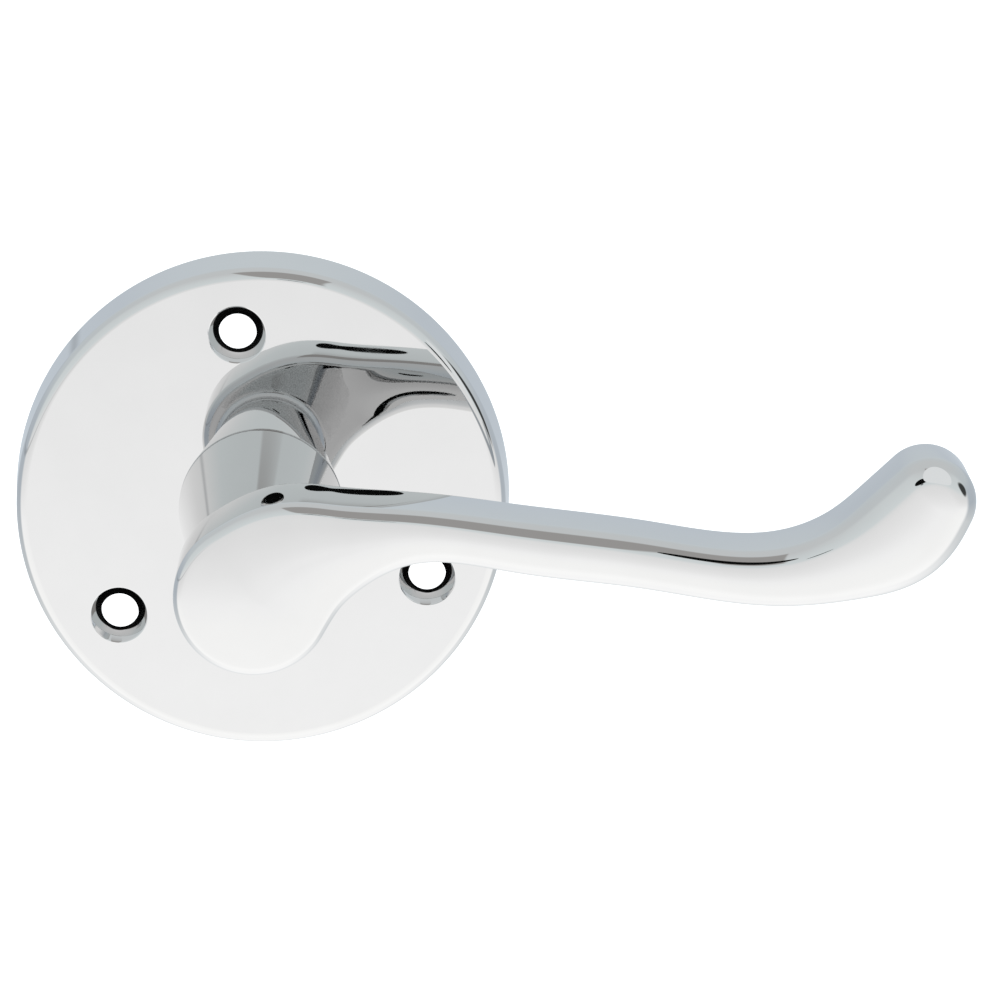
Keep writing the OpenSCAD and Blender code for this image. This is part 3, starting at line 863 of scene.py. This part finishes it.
for i in range(bend_steps, -1, -1):
    turn = math.radians(90 * i / bend_steps)
    reach = coil_radius + bend * (1 - math.sin(turn))
    route.append((reach, free_leg + bend_turn * (1 - math.cos(turn)), coil_back))
route.append((leg_end, free_leg, coil_back))
wire = bpy.data.curves.new("wire", "CURVE")
wire.dimensions = "3D"
wire.bevel_depth = wire_radius
wire.bevel_resolution = 4
wire.use_fill_caps = True
line = wire.splines.new("POLY")
line.points.add(len(route) - 1)
for point, (radius, angle, out) in zip(line.points, route):
    point.co = (*place(radius, angle, out), 1)
wound = bpy.data.objects.new("wire", wire)
bpy.context.scene.collection.objects.link(wound)
bpy.context.view_layer.update()
coil_mesh = bpy.data.meshes.new_from_object(wound.evaluated_get(bpy.context.evaluated_depsgraph_get()))
bpy.data.objects.remove(wound)
coil_mesh.name = "coil_spring"
coil_mesh.materials.clear()
spring = bpy.data.objects.new("coil_spring", coil_mesh)
bpy.context.scene.collection.objects.link(spring)
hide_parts("return_spring")
smooth(spring.data, 50)
spring_steel = dull_metal("oiled_spring_steel", (0.14, 0.14, 0.15), (0.26, 0.25, 0.25), 0.28, 1800, 0.00001)
spring.data.materials.append(spring_steel)
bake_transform(spring)

# ---------------------------------------------------------------------------
# Spring washer: a dished ring of thin spring steel between the stop plate and
# the circlip, that takes up the lever's play along its axis.
# ---------------------------------------------------------------------------
dish_back = 1.85 * MM
dish_thickness = 0.25 * MM
dish_inside = 8.1 * MM
dish_outside = 9.87 * MM
dish_profile = rounded([
    (dish_inside, dish_back, 0.05 * MM), (dish_inside + dish_thickness, dish_back, 0.05 * MM),
    (dish_outside, stop_back - dish_thickness, 0.05 * MM), (dish_outside, stop_back, 0.05 * MM),
    (dish_outside - dish_thickness, stop_back, 0.05 * MM),
    (dish_inside, dish_back + dish_thickness, 0.05 * MM),
])
dish = add_piece("dished_washer", turned("dished_washer", dish_profile), "lever", "spring_washer")
smooth(dish.data)
dish.data.materials.append(spring_steel)

# ---------------------------------------------------------------------------
# Circlip: a stamped external ring with two pierced lugs, phosphated black,
# snapped into the groove at the shank's end. It holds the lever in the rose.
# ---------------------------------------------------------------------------
clip_back = 0.85 * MM
clip_inside = 7.42 * MM
clip_outside = 9.42 * MM
lug_radius = 1.6 * MM
lug_angle = math.radians(22)
mouth_angle = math.radians(14)
lug_root = 2 * math.asin(lug_radius / 2 / clip_outside)
top = math.pi / 2


def lug_arc(side):
    """Points round a lug, from the ring's outside to the edge of the mouth."""
    middle = Vector(across_ring(top + side * lug_angle, clip_outside, 0))
    root = Vector(across_ring(top + side * (lug_angle + lug_root), clip_outside, 0)) - middle
    offset = clip_outside * math.sin(lug_angle - mouth_angle)
    reach = clip_outside * math.cos(lug_angle - mouth_angle) + math.sqrt(lug_radius ** 2 - offset ** 2)
    tip = Vector(across_ring(top + side * mouth_angle, reach, 0)) - middle
    start, end = math.atan2(root.y, root.x), math.atan2(tip.y, tip.x)
    while side * (start - end) < 0:
        end -= side * math.tau
    return arc(middle, lug_radius, math.degrees(start), math.degrees(end), 20)


right_root, left_root = math.degrees(top - lug_angle - lug_root), math.degrees(top + lug_angle + lug_root)
right_mouth, left_mouth = math.degrees(top - mouth_angle), math.degrees(top + mouth_angle)
clip_outline = arc((0, 0), clip_outside, left_root, right_root + 360, 96)[:-1]
clip_outline += lug_arc(-1)
clip_outline += arc((0, 0), clip_inside, right_mouth, left_mouth - 360, 96)
clip_outline += lug_arc(1)[::-1][:-1]
lug_middles = [across_ring(top + side * lug_angle, clip_outside, 0) for side in (-1, 1)]
lug_holes = [arc(middle, lug_radius / 2, 0, 345, 23) for middle in lug_middles]
clip_mesh = pressed("retaining_ring", [clip_outline, *lug_holes], clip_back, clip_back + 1 * MM, 0.08 * MM)
clip = add_piece("retaining_ring", clip_mesh, "lever", "circlip")
smooth(clip.data, 50)
phosphated = dull_metal("phosphated_steel", (0.03, 0.03, 0.032), (0.07, 0.07, 0.072), 0.5, 2600, 0.00002, 0.7)
clip.data.materials.append(phosphated)

# ---------------------------------------------------------------------------
# Spindle: a square bar of bright zinc-plated steel, sawn to length with its
# ends chamfered. It passes through the latch and is gripped in the lever.
# ---------------------------------------------------------------------------
spindle_low, spindle_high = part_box("spindle")
half_bar = spindle_high.x
bar_corner = 0.4 * MM
bar_outline = []
for quarter in range(4):
    towards = math.radians(45 + 90 * quarter)
    corner = Vector(((half_bar - bar_corner) * math.copysign(1, math.cos(towards)),
                     (half_bar - bar_corner) * math.copysign(1, math.sin(towards))))
    bar_outline += arc(corner, bar_corner, 90 * quarter, 90 * quarter + 90, 4)
bar = add_piece(
    "square_bar", pressed("square_bar", [bar_outline], -spindle_high.y, -spindle_low.y, 0.35 * MM),
    "lever", "spindle")
smooth(bar.data, 30)
drawn_zinc = dull_metal(
    "drawn_zinc", (0.46, 0.47, 0.50), (0.64, 0.64, 0.63), 0.3, 900, 0.00001, stretch=(1, 0.05, 1))
bar.data.materials.append(drawn_zinc)

# ---------------------------------------------------------------------------
# Grub screw: a black socket screw in the neck's underside. Its cup point bites
# on the spindle, and a key reaches its hexagon socket from below.
# ---------------------------------------------------------------------------
grub_radius = 2.48 * MM
grub_start = half_bar
grub_end = 8.72 * MM
thread_depth = 0.25 * MM
pitch = 0.8 * MM
grub_corners = [
    (0, grub_start + 0.5 * MM, 0), (1 * MM, grub_start, 0.05 * MM), (1.6 * MM, grub_start, 0.05 * MM)]
at = grub_start + 0.8 * MM
while at + pitch < grub_end:
    grub_corners += [(grub_radius - thread_depth, at, 0.04 * MM), (grub_radius, at + pitch / 2, 0.04 * MM)]
    at += pitch
grub_corners += [(grub_radius - thread_depth, grub_end, 0.1 * MM), (0, grub_end, 0)]
grub = add_piece(
    "socket_screw", pointing_down(turned("socket_screw", rounded(grub_corners, 3), 96), grub_out),
    "lever", "grub_screw")
key_radius = 1.25 * MM / math.cos(math.radians(30))
hexagon = [
    (0, grub_end - 2.6 * MM, 0), (key_radius, grub_end - 2.4 * MM, 0),
    (key_radius, grub_end + 1 * MM, 0), (0, grub_end + 1 * MM, 0)]
cut_away(grub, [pointing_down(turned("key_socket", rounded(hexagon), 6), grub_out)])
smooth(grub.data, 40)
grub.data.materials.append(phosphated)
